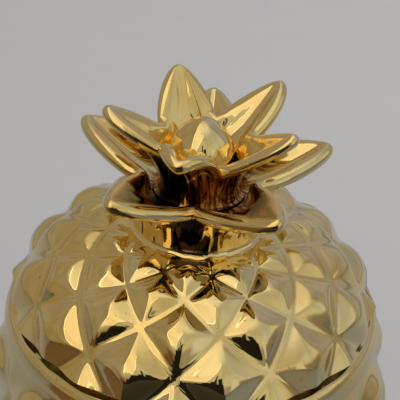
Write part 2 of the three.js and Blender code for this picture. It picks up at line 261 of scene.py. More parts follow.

# Material slots: the first four are the egg's, the fourth with painted shade in the seam, and a whorl has
# plain gold and the gap's and the neck's painted shade
GOLD, GLAZE, BISQUE, SHADED_SEAM = 0, 1, 2, 3
GAP, NECK = 1, 2


def lerp(a, b, share):
    return a + (b - a) * share


def smoothstep(value):
    """0 below 0, 1 above 1, and smooth between."""
    v = np.clip(value, 0, 1)
    return v * v * (3 - 2 * v)


def cubic(points, shares):
    """Points of a cubic curve with four control points."""
    p = np.array(points, float)
    t = np.asarray(shares, float)[:, None]
    s = 1 - t
    return s ** 3 * p[0] + 3 * s * s * t * p[1] + 3 * s * t * t * p[2] + t ** 3 * p[3]


def egg_outline():
    """Radius and height along the egg, from the foot band over the equator to the crown's seat."""
    foot = (FOOT_RADIUS, FOOT_BAND_HEIGHT)
    foot_pull = (
        FOOT_RADIUS + FOOT_HANDLE * math.cos(FOOT_SPLAY),
        FOOT_BAND_HEIGHT + FOOT_HANDLE * math.sin(FOOT_SPLAY),
    )
    belly_pull = (EQUATOR_RADIUS, EQUATOR_HEIGHT - BELLY_HANDLE)
    equator = (EQUATOR_RADIUS, EQUATOR_HEIGHT)
    dome_pull = (EQUATOR_RADIUS, EQUATOR_HEIGHT + DOME_HANDLE)
    seat = (CROWN_SEAT_RADIUS, CROWN_HEIGHT)
    seat_pull = (
        CROWN_SEAT_RADIUS + CROWN_SEAT_HANDLE * math.cos(CROWN_SEAT_FALL),
        CROWN_HEIGHT - CROWN_SEAT_HANDLE * math.sin(CROWN_SEAT_FALL),
    )
    shares = np.linspace(0, 1, OUTLINE_STEPS + 1)
    belly = cubic([foot, foot_pull, belly_pull, equator], shares)
    dome = cubic([equator, dome_pull, seat_pull, seat], shares)
    return np.vstack([belly, dome[1:]])


def latitudes_along(points):
    """Latitudes on which a cell of the relief is as high as it is wide."""
    steps = np.hypot(*np.diff(points, axis=0).T)
    radii = (points[1:, 0] + points[:-1, 0]) / 2
    return np.concatenate([[0], np.cumsum(steps / radii)])


OUTLINE = egg_outline()
LATITUDES = latitudes_along(OUTLINE)
TANGENTS = np.gradient(OUTLINE, LATITUDES, axis=0)
TANGENTS = TANGENTS / np.hypot(TANGENTS[:, 0], TANGENTS[:, 1])[:, None]


def latitude_at_height(height):
    return float(np.interp(height, OUTLINE[:, 1], LATITUDES))


def row_at_latitude(latitude):
    return SEAM_ROW + (latitude_at_height(SEAM_HEIGHT) - latitude) / HALF_CELL


def row_at_height(height):
    return row_at_latitude(latitude_at_height(height))


FOOT_ROW = row_at_latitude(0)
CROWN_ROW = row_at_latitude(LATITUDES[-1])
LID_ROW = row_at_height(LAND_HEIGHT + EDGE_ROUND)
BEAD_ROW = row_at_height(SEAM_HEIGHT - EDGE_ROUND)
BAND_ROW = row_at_height(SEAM_HEIGHT - RIM_BAND_HEIGHT)


def outline_at_row(row):
    """Radius and height on the outline, and the outward normal as radius and height."""
    latitude = latitude_at_height(SEAM_HEIGHT) + (SEAM_ROW - row) * HALF_CELL
    place = [float(np.interp(latitude, LATITUDES, OUTLINE[:, k])) for k in (0, 1)]
    along = [float(np.interp(latitude, LATITUDES, TANGENTS[:, k])) for k in (0, 1)]
    length = math.hypot(*along)
    return np.array(place), np.array([along[1], -along[0]]) / length


def tent(value):
    """0 at whole numbers and 1 half-way between them."""
    return 2 * np.abs(value - np.round(value))


def rounded(height):
    """Rounds the foot of a slope into its valley and its top into the peak."""
    top = 1 - height
    low = (height * height / VALLEY_ROUND + VALLEY_ROUND) / 2
    high = 1 - (top * top / PEAK_ROUND + PEAK_ROUND) / 2
    return np.where(height < VALLEY_ROUND, low, np.where(top < PEAK_ROUND, high, height))


def diamonds(column, row):
    """Height of the diamonds from 0 in the valleys to about 1 on the peaks."""
    rising = rounded(tent((column + row + 1) / 2))
    falling = rounded(tent((column - row + 1) / 2))
    blend = np.sqrt((rising - falling) ** 2 + RIDGE_ROUND ** 2 * rising * falling)
    lower = (rising + falling - blend) / 2
    return lower * (1 + PILLOW_SHARE * (1 - lower))


def fade(row, first_row, last_row, first_fade, last_fade):
    """How much of the relief is left near its first and its last row."""
    return smoothstep((row - first_row) / first_fade) * smoothstep((last_row - row) / last_fade)


def on_circle(radius, angle, height):
    radius, angle, height = np.broadcast_arrays(radius, angle, height)
    return np.stack([radius * np.sin(angle), -radius * np.cos(angle), height], axis=-1)


def pole(height):
    return np.array([[0.0, 0.0, height]])


def plain_ring(radius, height, angles=ANGLES):
    return on_circle(radius, angles, height)


def offset_ring(row, offset):
    place, normal = outline_at_row(row)
    return plain_ring(*(place + normal * offset))


def relief_ring(row, first_row, last_row, first_fade, last_fade):
    """One ring of the diamond relief, raised square to the outline."""
    place, normal = outline_at_row(row)
    lift = RELIEF_SHARE * place[0] * diamonds(ANGLES / HALF_CELL, row)
    lift = lift * fade(row, first_row, last_row, first_fade, last_fade)
    return on_circle(place[0] + normal[0] * lift, ANGLES, place[1] + normal[1] * lift)


def even_rows(first, last, step):
    """Even rows from first to last, no further apart than step."""
    return np.linspace(first, last, max(2, math.ceil(abs(last - first) / step) + 1))


def rounded_edge(centre_radius, centre_height, radius, start, end):
    """Rings round a rounded edge, from angle start to angle end in degrees, 0 outwards and 90 up."""
    turns = np.radians(np.linspace(start, end, EDGE_STEPS + 1))
    return [
        plain_ring(centre_radius + radius * math.cos(t), centre_height + radius * math.sin(t))
        for t in turns
    ]


class Skin:
    """A skin of rings, each band between two rings with its own material."""

    def __init__(self):
        self.rings = []
        self.marks = []

    def add(self, rings, mark):
        for ring in rings:
            self.rings.append(ring)
            self.marks.append(mark)

    def build(self, name, materials):
        points = np.vstack(self.rings) * MM
        starts = np.cumsum([0] + [len(r) for r in self.rings])
        faces = []
        marks = []
        closed = len(self.rings[0]) > 1
        bands = len(self.rings) if closed else len(self.rings) - 1
        for k in range(bands):
            n = (k + 1) % len(self.rings)
            here, there = len(self.rings[k]), len(self.rings[n])
            count = max(here, there)
            for i in range(count):
                j = (i + 1) % count
                low = [starts[k] + i % here, starts[k] + j % here]
                high = [starts[n] + j % there, starts[n] + i % there]
                face = low + high
                kept = [v for m, v in enumerate(face) if v not in face[:m]]
                faces.append(kept)
                marks.append(self.marks[n])
        return make_mesh(name, points, faces, marks, materials)


def make_mesh(name, points, faces, marks, materials):
    """An object of these faces, facing outwards, smooth but for its sharp edges."""
    mesh = bpy.data.meshes.new(name)
    mesh.from_pydata([tuple(p) for p in points], [], faces)
    volume = signed_volume(mesh)
    if volume < 0:
        mesh.flip_normals()
    for material in materials:
        mesh.materials.append(material)
    mesh.polygons.foreach_set("material_index", marks)
    mesh.shade_smooth()
    mesh.set_sharp_from_angle(angle=SHARP_EDGE)
    mesh.update()
    piece = bpy.data.objects.new(name, mesh)
    bpy.context.scene.collection.objects.link(piece)
    return piece


def signed_volume(mesh):
    """Six times the volume, negative where the faces look inwards."""
    mesh.calc_loop_triangles()
    count = len(mesh.loop_triangles)
    corners = np.empty(count * 3, int)
    mesh.loop_triangles.foreach_get("vertices", corners)
    places = np.empty(len(mesh.vertices) * 3)
    mesh.vertices.foreach_get("co", places)
    a, b, c = places.reshape(-1, 3)[corners.reshape(-1, 3)].transpose(1, 0, 2)
    return float(np.einsum("ij,ij->", a, np.cross(b, c)))


def jar_skin():
    """The jar, from its floor up the inside, over the rim, down the relief and under the foot."""
    floor_height = FOOT_RECESS + FLOOR_THICKNESS
    edge_height = SEAM_HEIGHT - EDGE_ROUND
    shoulder_row = row_at_height(SEAM_HEIGHT - MOUTH_DEPTH - MOUTH_TAPER)
    lowest_row = row_at_height(floor_height + WALL)
    skin = Skin()
    skin.add([pole(floor_height), plain_ring(FOOT_RADIUS - 2 * WALL, floor_height)], GLAZE)
    rows = even_rows(lowest_row, shoulder_row, INSIDE_ROW_STEP)
    skin.add([offset_ring(row, -WALL) for row in rows], GLAZE)
    skin.add([plain_ring(MOUTH_RADIUS, SEAM_HEIGHT - MOUTH_DEPTH)], GLAZE)
    skin.add([plain_ring(MOUTH_RADIUS, edge_height)], GLAZE)
    skin.add(rounded_edge(MOUTH_RADIUS + EDGE_ROUND, edge_height, EDGE_ROUND, 180, 90), GLAZE)
    skin.add([plain_ring(outline_at_row(SEAM_ROW)[0][0] - EDGE_ROUND, SEAM_HEIGHT)], BISQUE)
    skin.add(bead_rings(), GOLD)
    rows = even_rows(BAND_ROW, FOOT_ROW, 1 / STEPS_PER_HALF_CELL)[1:]
    skin.add([relief_ring(row, BAND_ROW, FOOT_ROW, RIM_FADE_ROWS, FOOT_FADE_ROWS) for row in rows], GOLD)
    skin.add(rounded_edge(FOOT_RADIUS - EDGE_ROUND, EDGE_ROUND, EDGE_ROUND, 0, -90), GOLD)
    skin.add([plain_ring(FOOT_RADIUS - FOOT_RING_WIDTH, 0)], BISQUE)
    skin.add([plain_ring(FOOT_RADIUS - FOOT_RING_WIDTH - FOOT_RECESS, FOOT_RECESS)], GLAZE)
    skin.add([pole(FOOT_RECESS)], GLAZE)
    return skin


def bead_rings():
    """The plain rim band, which swells out between two rows."""
    rings = []
    for turn in np.linspace(0, math.pi, BEAD_STEPS + 1):
        row = lerp(BEAD_ROW, BAND_ROW, (1 - math.cos(turn)) / 2)
        rings.append(offset_ring(row, RIM_BEAD * math.sin(turn)))
    return rings


def dome_skin():
    """The lid, from its roof down the inside, round the flange and its groove, and up the relief."""
    edge_height = LAND_HEIGHT - FLANGE_DEPTH + EDGE_ROUND
    flange_inside = FLANGE_RADIUS - FLANGE_WALL
    groove_radius = FLANGE_RADIUS - GROOVE_DEPTH
    roof_row = row_at_height(CROWN_HEIGHT - WALL)
    eave_row = row_at_height(LAND_HEIGHT + FLANGE_DEPTH)
    skin = Skin()
    rows = even_rows(roof_row, eave_row, INSIDE_ROW_STEP)
    skin.add([offset_ring(row, -WALL) for row in rows], GLAZE)
    skin.add([plain_ring(flange_inside, LAND_HEIGHT)], GLAZE)
    skin.add([plain_ring(flange_inside, edge_height)], GLAZE)
    skin.add(rounded_edge(flange_inside + EDGE_ROUND, edge_height, EDGE_ROUND, 180, 270), GLAZE)
    skin.add(rounded_edge(FLANGE_RADIUS - EDGE_ROUND, edge_height, EDGE_ROUND, -90, 0), GLAZE)
    skin.add([plain_ring(FLANGE_RADIUS, SEAL_BOTTOM - SEAT_GAP)], GLAZE)
    skin.add([plain_ring(groove_radius, SEAL_BOTTOM - SEAT_GAP)], GLAZE)
    skin.add([plain_ring(groove_radius, SEAL_TOP + SEAT_GAP)], GLAZE)
    skin.add([plain_ring(FLANGE_RADIUS, SEAL_TOP + SEAT_GAP)], GLAZE)
    skin.add([plain_ring(FLANGE_RADIUS, LAND_HEIGHT)], GLAZE)
    skin.add([plain_ring(outline_at_row(SEAM_ROW)[0][0] - EDGE_ROUND, LAND_HEIGHT)], BISQUE)
    rows = even_rows(LID_ROW, CROWN_ROW, 1 / STEPS_PER_HALF_CELL)
    rings = [relief_ring(row, CROWN_ROW, math.inf, CROWN_FADE_ROWS, 1) for row in rows]
    # The lid's lowest band carries the seam's painted shade
    skin.add(rings[:1], SHADED_SEAM)
    skin.add(rings[1:], GOLD)
    skin.add([plain_ring(NECK_BORE, CROWN_HEIGHT)], GOLD)
    skin.add([plain_ring(NECK_BORE, CROWN_HEIGHT - WALL)], GLAZE)
    return skin


def seal_skin():
    """The seal in the flange's groove, with a lip towards the mouth."""
    inside = FLANGE_RADIUS - GROOVE_DEPTH + SEAT_GAP
    outside = MOUTH_RADIUS - SEAT_GAP
    profile = [
        (inside, SEAL_BOTTOM),
        (FLANGE_RADIUS, SEAL_BOTTOM),
        (outside, (SEAL_BOTTOM + SEAL_TOP) / 2),
        (FLANGE_RADIUS, SEAL_TOP),
        (inside, SEAL_TOP),
    ]
    skin = Skin()
    skin.add([plain_ring(*point) for point in profile], 0)
    return skin


def leaf_columns():
    """Shares of half a leaf, from the crease at -1 over the tip at 0 to just before the next crease."""
    return np.arange(-LEAF_STEPS, LEAF_STEPS) / LEAF_STEPS


def rim_points(whorl, leaf, shares):
    """Places on a leaf's outer edge, which leaves the creases side by side and closes in a rounded tip."""
    half_angle = math.pi / LEAVES_ROUND
    reach = (whorl["tip_radius"] - whorl["crease_radius"]) * whorl["reach_shares"][leaf]
    lift = (whorl["tip_rise"] - whorl["crease_rise"]) * whorl["lift_shares"][leaf]
    tip = (0, whorl["crease_radius"] + reach)
    crease_radius = whorl["crease_radius"]
    crease = (math.sin(half_angle) * crease_radius, math.cos(half_angle) * crease_radius)
    shoulder = (crease[0], lerp(crease[1], tip[1], LEAF_SHOULDER_SHARE))
    place = cubic([tip, (LEAF_TIP_WIDTH, tip[1]), shoulder, crease], np.abs(shares))
    radius = np.hypot(place[:, 0], place[:, 1])
    angle = whorl["turn"] + 2 * leaf * half_angle + np.sign(shares) * np.arctan2(place[:, 0], place[:, 1])
    after = whorl["crease_rise_shares"][leaf]
    before = whorl["crease_rise_shares"][(leaf - 1) % LEAVES_ROUND]
    crease_rise = whorl["crease_rise"] * np.where(np.asarray(shares) > 0, after, before)
    climbed = (radius - whorl["crease_radius"]) / reach
    rise = lerp(crease_rise, whorl["crease_rise"] + lift, climbed)
    arch = whorl["arch_shares"][leaf] * (whorl["tip_rise"] - whorl["crease_rise"])
    return on_circle(radius, angle, whorl["foot_height"] + rise + 4 * climbed * (1 - climbed) * arch)


def rim_frames(whorl):
    """The rim's half thickness, and for every column its share, angle, centre, way out and lip."""
    columns = leaf_columns()
    rims, outs, lips = [], [], []
    for leaf in range(LEAVES_ROUND):
        rim = rim_points(whorl, leaf, columns)
        after = rim_points(whorl, leaf, columns + RIM_NUDGE)
        before = rim_points(whorl, leaf, columns - RIM_NUDGE)
        before[0] = rim_points(whorl, (leaf - 1) % LEAVES_ROUND, np.array([1 - RIM_NUDGE]))[0]
        out = np.stack([after[:, 1] - before[:, 1], before[:, 0] - after[:, 0], np.zeros(len(rim))], axis=1)
        rims.append(rim)
        outs.append(out / np.linalg.norm(out, axis=1)[:, None])
        width = np.linalg.norm(rim - rim_points(whorl, leaf, -columns), axis=1) - whorl["rim"]
        level = np.clip(LIP_SHARE * width, 0, LIP_MOST)
        lips.append(lerp(level, whorl["rim"] / 2, columns ** 2))
    rim, out = np.vstack(rims), np.vstack(outs)
    return {
        "radius": whorl["rim"] / 2,
        "share": np.tile(columns, LEAVES_ROUND),
        "angle": np.arctan2(rim[:, 0], -rim[:, 1]),
        "centre": rim - out * whorl["rim"] / 2,
        "out": out,
        "lip": np.concatenate(lips)[:, None],
    }


def rim_ring(frames, turn):
    """One ring of the rolled rim, from its underside at -90 degrees to its top at 90."""
    up = np.array([0, 0, 1.0])
    return frames["centre"] + (frames["out"] * math.cos(turn) + up * math.sin(turn)) * frames["radius"]


def bend(frames, floor_height, from_radius, pull, pinch):
    """The middle points that a leaf's sweeps are drawn towards."""
    centre = frames["centre"]
    reach = np.hypot(centre[:, 0], centre[:, 1])
    height = lerp(floor_height, centre[:, 2], pull[1])
    pinched = pinch * np.abs(frames["share"]) ** 1.5
    return on_circle(lerp(from_radius, reach, pull[0]) - pinched, frames["angle"], height)


def sweep(frames, start, middle, end, level, share):
    """A curve over the middle points that runs level into the rolled rim at its end."""
    s = 1 - share
    lip = end - frames["out"] * frames["lip"] * level
    return s ** 3 * start + 3 * s * s * share * middle + 3 * s * share * share * lip + share ** 3 * end


def foot_rings(whorl, angle):
    """The underside of a whorl: its middle, and round that the hollow over the lid's bore."""
    foot_height = whorl["foot_height"]
    if whorl["hollow_rise"] == 0:
        return [pole(foot_height)]
    roof = foot_height + whorl["hollow_rise"]
    return [pole(roof), on_circle(NECK_BORE, angle, roof), on_circle(NECK_BORE, angle, foot_height)]


def whorl_skin(whorl):
    """A whorl: foot, glaze fillet, undersides of the leaves, rolled rim, and the cup inside."""
    frames = rim_frames(whorl)
    angle = frames["angle"]
    floor_height = whorl["foot_height"] + whorl["floor_rise"]
    creased = whorl["neck_radius"] - whorl["crease_depth"] * np.abs(frames["share"]) ** 3
    fillet = neck_fillet(whorl, creased, angle)
    floor = on_circle(whorl["floor_radius"], angle, floor_height)
    rims = [rim_ring(frames, turn) for turn in np.radians(np.linspace(-90, 90, RIM_STEPS + 1))]
    under = bend(frames, floor_height, whorl["neck_radius"], whorl["underside_pull"], whorl["pinch"])
    cup = bend(frames, floor_height, whorl["floor_radius"], whorl["cup_pull"], 0)
    shares = np.linspace(0, 1, SWEEP_STEPS + 1)[1:-1]
    outside, inside = whorl["marks"]
    skin = Skin()
    skin.add(foot_rings(whorl, angle), GOLD)
    skin.add(fillet, outside)
    skin.add([sweep(frames, fillet[-1], under, rims[0], UNDERSIDE_LIP_SHARE, s) for s in shares], outside)
    skin.add(rims, GOLD)
    skin.add([sweep(frames, floor, cup, rims[-1], 1, s) for s in shares[::-1]], inside)
    skin.add([floor, pole(floor_height)], inside)
    return skin


def neck_fillet(whorl, neck_radius, angle):
    """Glaze fillet from what the whorl stands on up to its neck. On the dome it has run further down."""
    foot_height = whorl["foot_height"]
    foot_radius = neck_radius + NECK_FILLET
    if whorl["hollow_rise"] > 0:
        run = GLAZE_RUN * (1 + np.cos(angle - GLAZE_RUN_TOWARDS))
        foot_radius = foot_radius + run + GLAZE_RIPPLE * np.sin(GLAZE_RIPPLES * angle)
        foot = on_circle(foot_radius, angle, dome_height(foot_radius, angle))
    else:
        foot = on_circle(foot_radius, angle, foot_height)
    corner = on_circle(neck_radius, angle, foot[:, 2])
    neck = on_circle(neck_radius, angle, foot_height + FOOT_EDGE + NECK_FILLET)
    rings = []
    for share in np.linspace(0, 1, FILLET_STEPS + 1):
        s = 1 - share
        rings.append(s * s * foot + 2 * s * share * corner + share * share * neck)
    return rings


def dome_height(radius, angle):
    """Height of the dome's relief below the crown, at each radius and angle."""
    rows = even_rows(CROWN_ROW, CROWN_ROW + REACHED_ROWS, REACHED_ROW_STEP)
    profiles = []
    for row in rows:
        place, normal = outline_at_row(row)
        lift = RELIEF_SHARE * place[0] * diamonds(angle / HALF_CELL, row)
        lift = lift * fade(row, CROWN_ROW, math.inf, CROWN_FADE_ROWS, 1)
        profiles.append((place[0] + normal[0] * lift, place[1] + normal[1] * lift))
    radii = np.array([p[0] for p in profiles])
    heights = np.array([p[1] for p in profiles])
    return np.array([np.interp(radius[k], radii[:, k], heights[:, k]) for k in range(len(angle))])


def complete_whorls():
    """Both whorls with their places on each other, and their outside and inside materials."""
    inner_foot = INNER_WHORL["neck_radius"] + NECK_FILLET
    outer = dict(OUTER_WHORL)
    outer["foot_height"] = CROWN_HEIGHT + SEAT_GAP
    outer["floor_radius"] = inner_foot + FLOOR_MARGIN
    outer["hollow_rise"] = NECK_HOLLOW
    outer["marks"] = (NECK, GAP)
    inner = dict(INNER_WHORL)
    inner["foot_height"] = outer["foot_height"] + outer["floor_rise"] + SEAT_GAP
    inner["floor_radius"] = BUD_FOOT_RADIUS + FLOOR_MARGIN
    inner["hollow_rise"] = 0
    inner["marks"] = (GAP, GOLD)
    return outer, inner


def bud_skin(inner):
    """The bud on the inner whorl's floor."""
    base = inner["foot_height"] + inner["floor_rise"] + SEAT_GAP
    profile = cubic(
        [
            (BUD_FOOT_RADIUS, 0),
            (BUD_BELLY_PULL, BUD_HEIGHT * BUD_BELLY_SHARE),
            (BUD_TIP_PULL, BUD_HEIGHT),
            (0, BUD_HEIGHT),
        ],
        np.linspace(0, 1, BUD_STEPS + 1),
    )
    skin = Skin()
    skin.add([pole(base)], 0)
    skin.add([plain_ring(radius, base + rise) for radius, rise in profile[:-1]], 0)
    skin.add([pole(base + BUD_HEIGHT)], 0)
    return skin


class Nodes:
    """Short calls for building a node tree."""

    def __init__(self, tree):
        self.tree = tree
        self.tree.nodes.clear()

    def add(self, kind, inputs=None, **settings):
        node = self.tree.nodes.new(kind)
        for key, value in settings.items():
            setattr(node, key, value)
        for key, value in (inputs or {}).items():
            self.put(node.inputs[key], value)
        return node

    def put(self, socket, value):
        if isinstance(value, bpy.types.NodeSocket):
            self.tree.links.new(value, socket)
        else:
            socket.default_value = value

    def math(self, operation, *values):
        node = self.add("ShaderNodeMath", operation=operation)
        for socket, value in zip(node.inputs, values):
            self.put(socket, value)
        return node.outputs[0]

    def times(self, first, *others):
        for other in others:
            first = self.math("MULTIPLY", first, other)
        return first

    def span(self, value, low, high, out_low=0.0, out_high=1.0):
        """Maps value from low..high smoothly to out_low..out_high."""
        inputs = {"Value": value, "From Min": low, "From Max": high, "To Min": out_low, "To Max": out_high}
        node = self.add("ShaderNodeMapRange", inputs, interpolation_type="SMOOTHSTEP")
        return node.outputs["Result"]

    def drop(self, value, low, high):
        """1 below low, 0 above high, and smooth between."""
        return self.span(value, low, high, 1.0, 0.0)

    def between(self, value, low, high, soft):
        """1 where value lies between low and high, with soft edges."""
        rising = self.span(value, low - soft, low + soft)
        falling = self.drop(value, high - soft, high + soft)
        return self.times(rising, falling)

    def mix(self, share, first, second, blend_type="MIX"):
        node = self.add("ShaderNodeMix", data_type="RGBA", blend_type=blend_type)
        self.put(node.inputs[0], share)
        self.put(node.inputs[6], first)
        self.put(node.inputs[7], second)
        return node.outputs[2]

    def noise(self, coordinates, scale, detail):
        inputs = {"Vector": coordinates, "Scale": scale, "Detail": detail}
        return self.add("ShaderNodeTexNoise", inputs).outputs["Fac"]

    def place(self):
        """Place on the object, in metres."""
        return self.add("ShaderNodeTexCoord").outputs["Object"]

    def surface(self, inputs, height, strength, depth):
        """The material's shader, with a bump from height."""
        bump = self.add("ShaderNodeBump", {"Strength": strength, "Distance": depth, "Height": height})
        shader = self.add("ShaderNodeBsdfPrincipled", inputs)
        self.put(shader.inputs["Normal"], bump.outputs[0])
        self.add("ShaderNodeOutputMaterial", {"Surface": shader.outputs[0]})


def new_material(name):
    """A material and its empty node tree."""
    material = bpy.data.materials.new(name)
    material.use_nodes = True
    nodes = Nodes(material.node_tree)
    return material, nodes


def plating(n, place, shade_share=None, brown=None, smoothest=0.03, metal=1.0):
    """Mirror plating with fine specks, a faint orange peel and a slow drift from pale to rich gold.

    Where shade is painted, the colour goes over to the given brown.
    """
    drift = n.noise(place, 45, 2)
    peel = n.noise(place, 260, 2)
    speck = n.span(n.noise(place, 900, 1), 0.72, 0.78)
    gold = n.mix(n.span(drift, 0.35, 0.65), PALE_GOLD, RICH_GOLD)
    colour = n.mix(n.times(speck, 0.5), gold, SPECK_BROWN)
    # Painted shade: the colour goes to the brown by this share
    if shade_share is not None:
        colour = n.mix(shade_share, colour, brown)
    polish = n.span(drift, 0.3, 0.7, smoothest, 2 * smoothest)
    roughness = n.math("ADD", polish, n.times(speck, 0.2))
    n.surface({"Metallic": metal, "Base Color": colour, "Roughness": roughness}, peel, 0.1, 0.0004)


def gold_material():
    """The plating of the egg and the bud."""
    material, n = new_material("gold_plating")
    plating(n, n.place())
    return material


def leaf_material():
    """The leaves' plating, a little softer in its shine than the egg's."""
    material, n = new_material("leaf_plating")
    plating(n, n.place(), smoothest=0.06)
    return material


def seam_shade_material():
    """Plating under the lid's edge, with the seam's shade painted on in patchy dark brown."""
    material, n = new_material("painted_shade_seam")
    place = n.place()
    shade_share = n.span(n.noise(place, 120, 2), 0.35, 0.7, 1.0, 0.75)
    plating(n, place, shade_share, SEAM_BROWN)
    return material


def polar(n, place):
    """Azimuth in degrees, radius and height of a place, in metres."""
    parts = n.add("ShaderNodeSeparateXYZ", {"Vector": place}).outputs
    azimuth, _ = room_angles(n, place)
    return azimuth, flat_length(n, parts), parts[2]


def flat_length(n, parts):
    squares = n.math("ADD", n.times(parts[0], parts[0]), n.times(parts[1], parts[1]))
    return n.math("SQRT", squares)


def streaks(n, azimuth, radius, height, pitch, detail):
    """Noise drawn out along the leaves, from their foot to their tip."""
    inputs = {"X": n.times(azimuth, pitch), "Y": n.times(height, 60.0), "Z": n.times(radius, 60.0)}
    return n.noise(n.add("ShaderNodeCombineXYZ", inputs).outputs[0], 1.0, detail)


def gap_shade_material():
    """Painted shade between the whorls: the deeper in, the darker, with brown and amber streaks of painted
    reflection, and nearly black at the left.

    In the corners of the front leaves it turns partly brown and less metallic.
    """
    material, n = new_material("painted_shade_gap")
    place = n.place()
    azimuth, radius, height = polar(n, place)
    streak = streaks(n, azimuth, radius, height, 0.19, 3)
    warped = n.math("ADD", radius, n.span(streak, 0.2, 0.8, -0.0025, 0.0025))
    turned = n.math("ADD", azimuth, n.span(streak, 0.2, 0.8, -20.0, 20.0))
    # Painted shade: darker the deeper into the gap, and nearly black at the left
    deep = n.drop(warped, 0.0128, 0.0182)
    left_black = n.times(n.between(turned, -62, -10, 8), n.drop(warped, 0.0155, 0.0205))
    corners = n.times(n.between(azimuth, -78, 78, 8), n.span(warped, 0.021, 0.0245))
    corners = n.times(corners, n.span(streak, 0.38, 0.56, 0.45, 1.0))
    browns = n.mix(n.span(streak, 0.42, 0.62), DEEP_BROWN, AMBER)
    browns = n.mix(n.span(radius, 0.016, 0.021), browns, LEAF_BROWN)
    browns = n.mix(left_black, browns, GAP_LEFT_BLACK)
    shade_share = n.math("MAXIMUM", n.times(corners, 0.7), n.math("MAXIMUM", deep, left_black))
    plating(n, place, shade_share, browns, smoothest=0.05, metal=n.span(corners, 0.0, 1.0, 1.0, 0.6))
    return material


def neck_shade_material():
    """Plating under the leaves, with painted shade and dark painted reflections, nearly black in streaks up
    the front of the neck.
    """
    material, n = new_material("painted_shade_neck")
    place = n.place()
    azimuth, radius, height = polar(n, place)
    streak = streaks(n, azimuth, radius, height, 0.11, 1)
    turned = n.math("ADD", azimuth, n.span(streak, 0.2, 0.8, -18.0, 18.0))
    front = n.between(turned, -20, 14, 2)
    side = n.times(n.between(azimuth, -60, 48, 8), n.span(streak, 0.58, 0.60))
    # Painted shade under the leaves, in streaks at the front and at the sides
    shade_share = n.times(n.drop(radius, 0.0215, 0.026), n.math("MAXIMUM", front, side))
    shade_share = n.times(shade_share, n.span(height, 0.1412, 0.1428))
    plating(n, place, shade_share, NECK_BROWN)
    return material


def glaze_material():
    """White glaze inside the jar, faintly warm where it pools."""
    material, n = new_material("white_glaze")
    place = n.place()
    ripple = n.noise(place, 180, 2)
    colour = n.mix(n.noise(place, 60, 3), (0.72, 0.70, 0.66, 1), (0.80, 0.79, 0.76, 1))
    roughness = n.span(ripple, 0.3, 0.7, 0.12, 0.2)
    n.surface({"Base Color": colour, "Roughness": roughness, "Coat Weight": 0.3}, ripple, 0.15, 0.0004)
    return material


def bisque_material():
    """Bare fired clay where the jar stands and where the lid sits."""
    material, n = new_material("bare_clay")
    place = n.place()
    grain = n.noise(place, 1600, 3)
    patches = n.times(grain, n.noise(place, 150, 2))
    colour = n.mix(patches, (0.62, 0.56, 0.47, 1), (0.78, 0.74, 0.66, 1))
    roughness = n.span(grain, 0.3, 0.7, 0.75, 0.92)
    n.surface({"Base Color": colour, "Roughness": roughness}, grain, 0.3, 0.0002)
    return material


def silicone_material():
    """Translucent silicone with fine dust and mould marks."""
    material, n = new_material("seal_silicone")
    place = n.place()
    dust = n.noise(place, 700, 3)
    colour = n.mix(n.noise(place, 120, 2), (0.70, 0.71, 0.69, 1), (0.78, 0.79, 0.78, 1))
    inputs = {
        "Base Color": colour,
        "Roughness": n.span(dust, 0.3, 0.7, 0.4, 0.6),
        "Subsurface Weight": 0.4,
        "Subsurface Scale": 0.002,
    }
    n.surface(inputs, dust, 0.15, 0.0001)
    return material


def room_angles(n, direction):
    """Azimuth from the front towards +X, and elevation, in degrees."""
    parts = n.add("ShaderNodeSeparateXYZ", {"Vector": direction}).outputs
    azimuth = n.math("DEGREES", n.math("ARCTAN2", parts[0], n.times(parts[1], -1.0)))
    elevation = n.math("DEGREES", n.math("ARCTAN2", parts[2], flat_length(n, parts)))
    return azimuth, elevation


def great_circle(n, direction, first, second):
    """How far a direction lies to the left of the edge through two directions of azimuth and elevation."""
    ends = []
    for azimuth, elevation in (first, second):
        a, e = math.radians(azimuth), math.radians(elevation)
        ends.append(Vector((math.cos(e) * math.sin(a), -math.cos(e) * math.cos(a), math.sin(e))))
    side = ends[0].cross(ends[1]).normalized()
    node = n.add("ShaderNodeVectorMath", operation="DOT_PRODUCT")
    n.put(node.inputs[0], direction)
    n.put(node.inputs[1], side)
    return node.outputs["Value"]


def add_places(n, angles, colour, places):
    azimuth, elevation = angles
    for sides, edge, lies, tint in places:
        reach = n.span(elevation, *edge) if lies == "above" else n.drop(elevation, *edge)
        colour = n.mix(n.times(n.between(azimuth, *sides), reach), colour, tint)
    return colour


def wall_colour(n, angles):
    """Warm walls, cooler at the right and behind, with daylight, a window and furniture."""
    azimuth, elevation = angles
    behind = n.span(n.math("ABSOLUTE", azimuth), 160, 180)
    cool = n.math("MAXIMUM", n.span(azimuth, 100, 125), n.times(behind, 0.6))
    colour = add_places(n, angles, n.mix(cool, WARM_WALL, COOL_WALL), WALL_PLACES)
    return n.mix(n.span(elevation, 56, 80), colour, CEILING)


def add_cove(n, direction, angles, colour):
    """The lit ceiling between its two edges, and the bright light along each of them."""
    azimuth, elevation = angles
    left_edge = great_circle(n, direction, COVE_HIGH, COVE_LOW)
    right_edge = great_circle(n, direction, COVE_RIGHT_LOW, COVE_RIGHT_HIGH)
    cream = n.times(n.span(left_edge, -0.008, 0.008), n.span(right_edge, -0.008, 0.008))
    cream = n.times(cream, n.span(elevation, 20, 23), n.span(elevation, 66, 80, 1.0, 0.2))
    cream = n.times(cream, n.span(azimuth, -135, -120), n.drop(azimuth, 2, 20))
    colour = n.mix(cream, colour, CREAM)
    left = n.times(n.between(left_edge, -0.014, 0.014, 0.004), n.between(azimuth, -125, -20, 3))
    right = n.times(n.between(right_edge, -0.01, 0.01, 0.004), n.between(azimuth, -25, 10, 3))
    light = n.times(n.math("MAXIMUM", left, right), n.span(elevation, 18, 22))
    return n.mix(light, colour, COVE_LIGHT)


